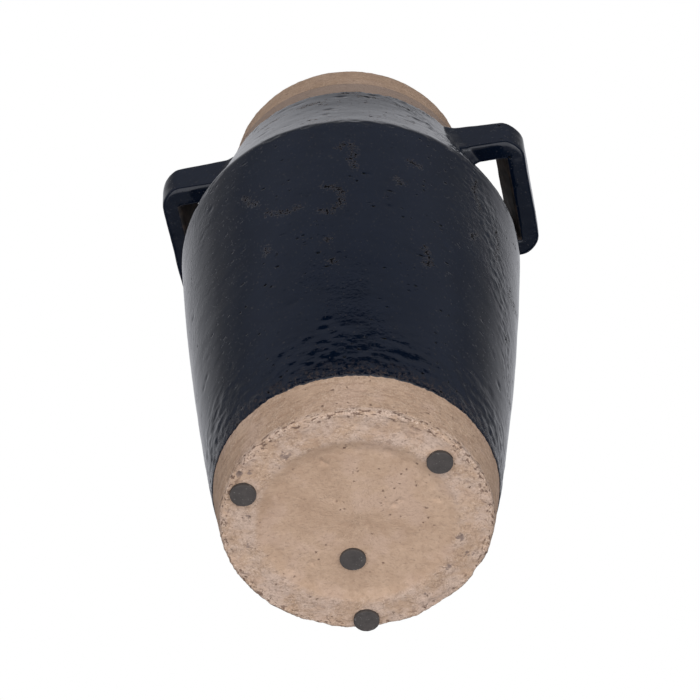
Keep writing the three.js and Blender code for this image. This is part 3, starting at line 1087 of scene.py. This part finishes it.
def fill_rubber(web, surface):
    """Dark grey rubber with a felt-like grain and a few pale specks."""
    specks = web.times(web.pits(900.0, 0.35, 0.2)["Mask"], 0.7)
    tones = web.mottle(PAD_LIGHT, PAD_DARK, 180.0, 0.6)
    web.put(surface["Base Color"], web.blend(specks, tones, PAD_SPECK))
    surface["Roughness"].default_value = 0.85
    web.bumped(surface, 0.5, 0.15 * MM, web.noise(web.place(), 1800.0, 2.0))


# ---------------------------------------------------------------- stage

def outwards(bearing, height):
    """The direction at a bearing and a height, both as angles."""
    flat = math.cos(height)
    return Vector((flat * math.cos(bearing), flat * math.sin(bearing), math.sin(height)))


class VASE_OT_stage(bpy.types.Operator):
    """Set the camera, the pale floor and the soft studio light"""

    bl_idname = "vase.stage"
    bl_label = "Stage"

    def execute(self, context):
        stage = context.scene.vase_stage
        context.scene.view_settings.view_transform = "Standard"
        towards = self.camera(context, stage)
        self.floor(context, stage)
        self.studio(context, stage, towards)
        self.softboxes(stage)
        return {"FINISHED"}

    def camera(self, context, stage):
        """Places the camera and returns the direction from the vase to it."""
        towards = outwards(stage.azimuth, stage.elevation)
        bpy.ops.object.camera_add()
        camera = context.active_object
        camera.name = "studio_camera"
        turn = towards.to_track_quat("Z", "Y").to_matrix().to_4x4()
        place = Matrix.Translation(Vector(stage.aim) + towards * stage.distance)
        camera.matrix_world = place @ turn @ Matrix.Rotation(stage.roll, 4, "Z")
        camera.data.lens = stage.lens
        camera.data.sensor_width = 36.0
        camera.data.clip_end = 20.0
        context.scene.camera = camera
        return towards

    def floor(self, context, stage):
        """A floor that shows from above only, so that the vase can be seen from below as well."""
        bpy.ops.object.select_all(action="DESELECT")
        bpy.ops.mesh.primitive_plane_add(size=6.0, location=(0, 0, 0))
        floor = started("floor")
        paper = bpy.data.materials.new("Pale Floor")
        web = self.cleared(paper)
        matt = web.add("BsdfDiffuse", {"Color": rgba(stage.floor)})
        glow = web.add("Emission", {"Color": rgba(stage.floor), "Strength": FLOOR_GLOW})
        lit = web.add("AddShader", {0: matt, 1: glow})
        facing = web.add("NewGeometry").outputs["Backfacing"]
        web.shown(web.add("MixShader", {0: facing, 1: lit, 2: web.add("BsdfTransparent")}))
        floor.data.materials.append(paper)
        floor.visible_diffuse = False
        floor.visible_glossy = False
        floor.visible_shadow = False

    def cleared(self, owner):
        """The emptied node tree of a material or a world."""
        owner.use_nodes = True
        owner.node_tree.nodes.clear()
        return Web(owner.node_tree)

    def studio(self, context, stage, towards):
        """A white studio: bright towards the camera and behind the vase, dim to the sides."""
        context.scene.world = bpy.data.worlds.new("studio")
        web = self.cleared(context.scene.world)
        direction = web.add("TexCoord").outputs["Generated"]
        facing = web.gap("DOT_PRODUCT", direction, tuple(towards))
        ramp = web.add("ValToRGB", {"Fac": web.scaled(facing, 0.5, 0.5)})
        elements = ramp.color_ramp.elements
        while len(elements) > 1:
            elements.remove(elements[-1])
        for index, (position, value, cool) in enumerate(STUDIO_STOPS):
            element = elements[0] if index == 0 else elements.new(position)
            element.position = position
            tint = (0.98 + 0.05 * cool, 0.99 + 0.12 * cool, 1.05 + 0.33 * cool)
            element.color = (*(value / STUDIO_PEAK * part for part in tint), 1.0)
        usual, overhead = STUDIO_PEAK * stage.light, 1.2 * STUDIO_PEAK * stage.light
        strength = web.fade(web.split(direction)[2], 0.88, 1.0, usual, overhead)
        lit = web.add("Background", {"Color": ramp.outputs["Color"], "Strength": strength})
        seen = web.add("Background", {"Color": rgba(stage.backdrop), "Strength": 1.0})
        camera_ray = web.add("LightPath").outputs["Is Camera Ray"]
        web.shown(web.add("MixShader", {0: camera_ray, 1: lit, 2: seen}), "OutputWorld")

    def softboxes(self, stage):
        """Large soft lights: from the camera's side, from the front and from overhead."""
        middle = Vector(stage.aim)
        for name, bearing, height, distance, size, power, mirrored in LIGHTS:
            away = outwards(math.radians(bearing), math.radians(height))
            bpy.ops.object.light_add(type="AREA", location=middle + away * distance)
            light = bpy.context.active_object
            light.name = name
            light.rotation_euler = away.to_track_quat("Z", "Y").to_euler()
            light.data.size = size
            light.data.energy = power * stage.light
            light.visible_camera = False
            light.visible_glossy = mirrored


# ---------------------------------------------------------------- add-on

class VASE_PT_panel(bpy.types.Panel):
    """Lists the vase's pieces and settings in the sidebar"""

    bl_idname = "VASE_PT_panel"
    bl_label = "Two-Handled Vase"
    bl_space_type = "VIEW_3D"
    bl_region_type = "UI"
    bl_category = "Vase"

    def draw(self, context):
        for operator in OPERATORS:
            self.layout.operator(operator.bl_idname)
        for group in SETTINGS:
            settings = getattr(context.scene, SETTINGS[group])
            box = self.layout.box()
            box.label(text=group.__doc__.strip())
            for name in group.__annotations__:
                box.prop(settings, name)


SETTINGS = {
    VaseShape: "vase_shape",
    VaseClay: "vase_clay",
    VaseGlaze: "vase_glaze",
    VaseStage: "vase_stage",
}
OPERATORS = (
    VASE_OT_stage,
    VASE_OT_foot,
    VASE_OT_glazed_body,
    VASE_OT_collar,
    VASE_OT_handles,
    VASE_OT_pads,
)


def register():
    for cls in (*SETTINGS, *OPERATORS, VASE_PT_panel):
        bpy.utils.register_class(cls)
    for group, name in SETTINGS.items():
        setattr(bpy.types.Scene, name, PointerProperty(type=group))


def unregister():
    for name in SETTINGS.values():
        delattr(bpy.types.Scene, name)
    for cls in reversed((*SETTINGS, *OPERATORS, VASE_PT_panel)):
        bpy.utils.unregister_class(cls)


def main():
    register()
    bpy.ops.vase.stage()
    bpy.ops.vase.foot()
    bpy.ops.vase.glazed_body()
    bpy.ops.vase.collar()
    bpy.ops.vase.handles()
    bpy.ops.vase.pads()


if __name__ == "__main__":
    main()
